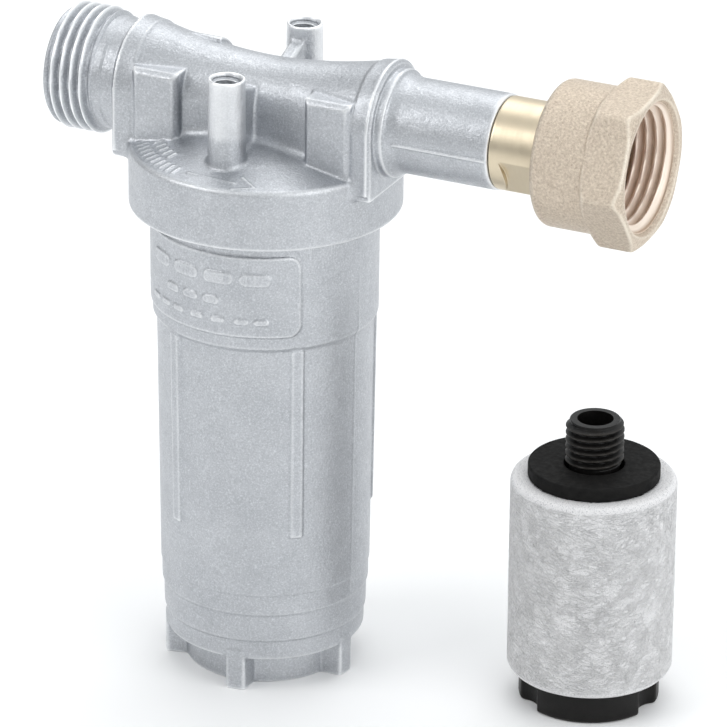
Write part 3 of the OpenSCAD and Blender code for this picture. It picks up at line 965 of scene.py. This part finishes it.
def build_union():
    centre = (0.0, PIPE_Z)
    x0, x1 = float(NUT_LOW[0]), float(NUT_HIGH[0])
    field = Field((x0 - 0.6, -15.2, PIPE_Z - 15.2), (x1 + 0.6, 15.2, PIPE_Z + 15.2), 0.18)
    field.add(turned([(0, x0, 0), (NUT_R, x0, 1.3), (NUT_R, HEX_X + 2, 0), (0, HEX_X + 2, 0)], 0, centre))
    field.add(hexagon(HEX_X, x1), 0.15)
    field.cut(rod(0, centre, TAIL_R + 0.1, x0 - 2, x0 + 5, 0), 0.25)
    field.cut(rod(0, centre, CHAMBER_R, x0 + NUT_WALL, x1, 0), 0.15)
    field.cut(rod(0, centre, THREAD_CREST + 0.05, NUT_THREAD_X, x1 + 2, 0), 0.15)
    field.cut(rod(0, centre, THREAD_CREST, x1 - 0.9, x1 + 0.3, 0, THREAD_CREST + 0.75))
    nut = field.mesh("union_nut_body", 150_000)
    finish_piece(nut, "nut", "cast_bronze", BRONZE, "union_nut")
    thread = threaded_tube("union_nut_thread", THREAD_PITCH, THREAD_ROOT, THREAD_CREST - 0.06,
                           THREAD_CREST + 0.2, NUT_THREAD_X + 0.02, x1 - 0.85, 0, centre, (0.3, 1.2))
    finish_piece(sharpened(thread, 35), "nut", "cast_bronze", CUT_BRONZE)
    for node, material in (("nut_slip_ring", BRASS), ("union_gasket", FIBRE), ("tailpiece_o_ring", RUBBER)):
        repaint(node, material)
    build_tailpiece(centre)


def build_tailpiece(centre):
    """The brass tail with its milled flats."""
    x0, x1 = float(TAIL_LOW[0]), float(TAIL_HIGH[0])
    bore, plug, flange, groove = 4.4, 6.15, 9.3, 5.1
    field = Field((x0 - 0.5, -10, PIPE_Z - 10), (x1 + 0.5, 10, PIPE_Z + 10), 0.16)
    field.add(turned([
        (bore, x0, 0.2), (plug, x0, 0.4), (plug, 38, 0.1), (groove, 38, 0.1),
        (groove, 40, 0.1), (plug, 40, 0.1), (plug, SNOUT_END + 0.05, 0),
        (TAIL_R, SNOUT_END + 0.05, 0.3), (TAIL_R, x1 - 2, 0.3), (flange, x1 - 2, 0.3),
        (flange, x1, 0.5), (bore, x1, 0.3)], 0, centre))
    for side in (0, 180):
        angle = math.radians(side - 30)
        field.cut(milled_flat(angle, 7.0, SNOUT_END + 1.9, SNOUT_END + 9.4))
    tail = field.mesh("tailpiece_turned", 90_000)
    finish_piece(tail, "head", "turned_brass", BRASS, "tailpiece")


def milled_flat(angle, apothem, x0, x1):
    """A flat cut by a round cutter, so that its ends are hollow curves."""
    low = np.array([x0 - 1, -10, PIPE_Z - 10])
    high = np.array([x1 + 1, 10, PIPE_Z + 10])

    def distance(x, y, z):
        out = -y * math.cos(angle) + (z - PIPE_Z) * math.sin(angle)
        side = y * math.sin(angle) + (z - PIPE_Z) * math.cos(angle)
        bow = x0 + 0.9 - 0.9 * (side / 3.6) ** 2
        return np.maximum(np.maximum(apothem - out, bow - x), x - x1)

    return distance, low, high


def repaint(node, material):
    """A kept CAD node gets its finished material."""
    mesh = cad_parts[node].data
    mesh.materials.clear()
    mesh.materials.append(material)
    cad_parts[node].data.set_sharp_from_angle(angle=math.radians(40))


# ---- Cartridges ----

FLEECE_R, FLEECE_H = 14.2, 36.0
BASE_R, BASE_H = 12.1, 5.4
WASHER_R, WASHER_H = 11.3, 2.4
SCALLOPS, SCALLOP_TURN = 3, -37.5
SPIGOT_R, SPIGOT_PITCH, SPIGOT_H = 5.0, 1.25, 10.6


def base_cap(name, x, y, z0):
    """The black base cap with round scallops in its rim."""
    field = Field((x - 13, y - 13, z0 - 0.6), (x + 13, y + 13, z0 + BASE_H + 0.6), 0.2)
    top = z0 + BASE_H
    field.add(turned([(0, z0, 0), (BASE_R, z0, 0.7), (BASE_R, top, 0.3), (0, top, 0)], 2, (x, y)))
    for k in range(SCALLOPS):
        ox, oy = direction(SCALLOP_TURN + 360 / SCALLOPS * k)
        spot = (x + (BASE_R + 1.9) * ox, y + (BASE_R + 1.9) * oy)
        field.cut(rod(2, spot, 3.6, z0 - 2, z0 + BASE_H - 0.9, 0.2), 0.25)
    return field.mesh(name, 60_000)


def spigot_cap(name, x, y, z0):
    """Cap disc, plain neck and threaded spigot with a through bore."""
    top = z0 + SPIGOT_H
    cap = lathe(name, [(3.1, z0 - 2, 0), (11, z0 - 2, 0.3), (11, z0 - 0.05, 0.2), (4.3, z0 - 0.05, 0.1),
                       (4.3, z0 + 3.2, 0.1), (3.1, z0 + 3.2, 0)], 2, (x, y))
    thread = threaded_tube(name + "_thread", SPIGOT_PITCH, SPIGOT_R, SPIGOT_R - 0.78, 3.1,
                           z0 + 2.3, top, 2, (x, y), (0.5, 0.9), 120)
    return sharpened(cap), sharpened(thread, 35)


def fleece_sleeve(name, x, y, z0, seed):
    """A lumpy sleeve of fleece, rounded at its lower rim."""
    rng = np.random.default_rng(seed)
    columns = 300
    top = z0 + FLEECE_H
    points = rounded([(7.1, z0, 0.3), (FLEECE_R, z0, 1.6), (FLEECE_R, top, 0.9),
                      (11.1, top, 0.3), (11.1, top - 2, 0), (7.1, top - 2, 0)], 8)
    dense = []
    for a, b in zip(points, np.roll(points, -1, axis=0)):
        count = max(1, int(np.linalg.norm(b - a) / 0.3))
        dense += [a + (b - a) * k / count for k in range(count)]
    dense = np.array(dense)
    angles = np.linspace(0, 2 * np.pi, columns, endpoint=False)
    radius = np.repeat(dense[:, :1], columns, 1)
    along = np.repeat(dense[:, 1:], columns, 1)
    lumps = np.zeros_like(radius)
    for _ in range(FLEECE_WAVES):
        waves, rise = rng.integers(2, 26), rng.normal(0, 0.9)
        phase = rng.uniform(0, 2 * np.pi)
        lumps += np.sin(waves * angles[None, :] + rise * along + phase) / FLEECE_WAVES ** 0.5
    outer = np.clip((radius - 10) / 3, 0, 1)
    radius = radius + outer * (SLEEVE_LUMP * lumps - SLEEVE_INSET)
    return shell_of_rows(name, radius, along, 2, (x, y), angles)


def fibre_tangle(name, x, y, z0, seed, count, on_top=False):
    """Loose fibres lying in the fleece's wall or top, as thin three-sided strands."""
    rng = np.random.default_rng(seed)
    steps = 6
    low, high = (WASHER_R - 0.6, FLEECE_R - 0.5) if on_top else (0.3, FLEECE_H - 0.25)
    angle = rng.uniform(0, 2 * np.pi, count)
    place_at = rng.uniform(low, high, count)
    heading = rng.normal(0, 0.55, count) + np.pi * rng.integers(0, 2, count)
    bend = rng.normal(0, 0.13, count)
    stride = rng.uniform(0.4, 1.1, count)
    thick = rng.uniform(0.02, 0.045, count)
    lift = rng.uniform(-0.05, 0.03, count)
    wobble = rng.uniform(0, 6, count)
    sides = np.array([0, 2 * np.pi / 3, 4 * np.pi / 3])
    rows = []
    for k in range(steps):
        raised = lift + 0.02 * np.sin(k * 1.3 + wobble)
        if on_top:
            edge = np.maximum(0, place_at - FLEECE_R + 1.0) * 0.6
            radius, height = place_at, FLEECE_H - 0.05 + raised - edge
        else:
            edge = np.maximum(0, 1.3 - place_at) * 0.75 + np.maximum(0, place_at - FLEECE_H + 0.9) * 0.7
            radius, height = FLEECE_R - 0.04 + raised - edge, place_at
        r = radius[:, None] + thick[:, None] * np.cos(sides)
        h = height[:, None] + thick[:, None] * np.sin(sides)
        a = angle[:, None] + 0 * h
        rows.append(np.stack([x + r * np.cos(a), y + r * np.sin(a), z0 + h], -1))
        angle = angle + stride * np.cos(heading) / FLEECE_R
        place_at = np.clip(place_at + stride * np.sin(heading), low, high)
        heading = heading + bend + rng.normal(0, 0.08, count)
    points = np.stack(rows, 1)
    first = (np.arange(count)[:, None, None] * steps + np.arange(steps - 1)[None, :, None]) * 3
    side, following = np.arange(3), (np.arange(3) + 1) % 3
    quads = [first + side, first + following, first + 3 + following, first + 3 + side]
    return mesh_object(name, points.reshape(-1, 3), np.stack(quads, -1).reshape(-1, 4))


def build_cartridge(prefix, body, seed, fibres):
    base_low, base_high = box_mm(prefix + "_base")
    x, y = (float(base_low[a] + base_high[a]) / 2 for a in (0, 1))
    z0 = float(base_low[2])
    fleece_z = z0 + BASE_H
    base = base_cap(prefix + "_base_cap", x, y, z0)
    finish_piece(base, body, "black_plastic", PLASTIC, prefix + "_base")
    cap, thread = spigot_cap(prefix + "_spigot_cap", x, y, fleece_z + FLEECE_H)
    finish_piece(cap, body, "black_plastic", PLASTIC, prefix + "_spigot")
    finish_piece(thread, body, "black_plastic", PLASTIC)
    sleeve = fleece_sleeve(prefix + "_fleece_sleeve", x, y, fleece_z, seed)
    finish_piece(sleeve, body, "fleece", FLEECE, prefix + "_fleece")
    for layer in range(fibres):
        strands = fibre_tangle(f"{prefix}_fleece_fibres_{layer + 1}", x, y, fleece_z, seed + layer, 6200)
        finish_piece(strands, body, "fleece", STRAND)
    strands = fibre_tangle(prefix + "_fleece_top_fibres", x, y, fleece_z, seed + 9, 1100, True)
    finish_piece(strands, body, "fleece", STRAND)
    repaint(prefix + "_core", PLASTIC)
    repaint(prefix + "_screen", SCREEN)
    washer_body = "washer_carrier" if prefix == "cartridge" else body
    washer_z = fleece_z + FLEECE_H
    washer = lathe(prefix + "_washer_ring", [
        (5.15, washer_z + 0.02, 0.2), (WASHER_R, washer_z + 0.02, 0.35),
        (WASHER_R, washer_z + WASHER_H, 0.35), (5.15, washer_z + WASHER_H, 0.25)], 2, (x, y))
    finish_piece(sharpened(washer, 50), washer_body, "rubber", RUBBER, prefix + "_washer")


# ---- Stage ----

CAMERA_AIM = (0.0142, 0.0092, 0.0534)
CAMERA_AZIMUTH, CAMERA_ELEVATION, CAMERA_ROLL = 25.26, 23.90, 0.51
CAMERA_DISTANCE = 1.0485
CAMERA_LENS = 301.9


def build_camera():
    data = bpy.data.cameras.new("camera")
    data.lens = CAMERA_LENS
    data.sensor_width = 36
    data.clip_start, data.clip_end = 0.05, 20
    camera = bpy.data.objects.new("camera", data)
    bpy.context.scene.collection.objects.link(camera)
    azimuth, elevation = math.radians(CAMERA_AZIMUTH), math.radians(CAMERA_ELEVATION)
    back = Vector((math.sin(azimuth) * math.cos(elevation),
                   -math.cos(azimuth) * math.cos(elevation), math.sin(elevation)))
    turn = back.to_track_quat("Z", "Y").to_matrix().to_4x4()
    turn = turn @ Matrix.Rotation(math.radians(CAMERA_ROLL), 4, "Z")
    camera.matrix_world = Matrix.Translation(Vector(CAMERA_AIM) + back * CAMERA_DISTANCE) @ turn
    bpy.context.scene.camera = camera


def area_light(name, place_at, aim, width, power, colour=(1, 1, 1)):
    data = bpy.data.lights.new(name, "AREA")
    data.shape = "RECTANGLE"
    data.size = data.size_y = width
    data.energy = power
    data.color = colour
    light = bpy.data.objects.new(name, data)
    bpy.context.scene.collection.objects.link(light)
    way = Vector(place_at) - Vector(aim)
    turn = way.to_track_quat("Z", "Y").to_matrix().to_4x4()
    light.matrix_world = Matrix.Translation(Vector(place_at)) @ turn
    return light


def build_world():
    """A grey room that is brighter overhead and towards the right rear."""
    world = bpy.data.worlds.new("studio")
    bpy.context.scene.world = world
    world.use_nodes = True
    tree = world.node_tree
    where = tree.nodes.new("ShaderNodeTexCoord")
    toward = tree.nodes.new("ShaderNodeVectorMath")
    toward.operation = "DOT_PRODUCT"
    toward.inputs[1].default_value = (0.34, 0.22, 0.30)
    tree.links.new(where.outputs["Generated"], toward.inputs[0])
    glow = spread(tree, toward.outputs["Value"], 0.25, 1.15, -0.4, 0.5)
    background = tree.nodes["Background"]
    background.inputs["Color"].default_value = (0.96, 0.985, 1.0, 1)
    tree.links.new(glow, background.inputs["Strength"])


def build_stage():
    corners = [(-FLOOR_HALF, -FLOOR_HALF, 0), (FLOOR_HALF, -FLOOR_HALF, 0),
               (FLOOR_HALF, FLOOR_HALF, 0), (-FLOOR_HALF, FLOOR_HALF, 0)]
    floor = mesh_object("floor", np.array(corners), [(0, 1, 2, 3)])
    floor.data.materials.append(floor_white())
    build_world()
    middle = (0.015, 0, 0.06)
    area_light("key", (-0.75, -0.75, 0.85), middle, 0.7, 5.0)
    area_light("fill", (0.95, -0.35, 0.5), middle, 0.9, 2.8)
    area_light("top", (-0.25, 0.65, 1.1), middle, 0.9, 4.2)
    bpy.context.scene.view_settings.view_transform = "Standard"


build_stage()
build_camera()
build_head()
build_bowl()
build_union()
build_cartridge("spare", "spare_cartridge", 11, 3)
build_cartridge("cartridge", "cartridge", 23, 1)
repaint("magnet_holder", PLASTIC)
repaint("magnet_rod", STEEL)
repaint("bowl_gasket", RUBBER)
repaint("bowl_slip_ring", STEEL)
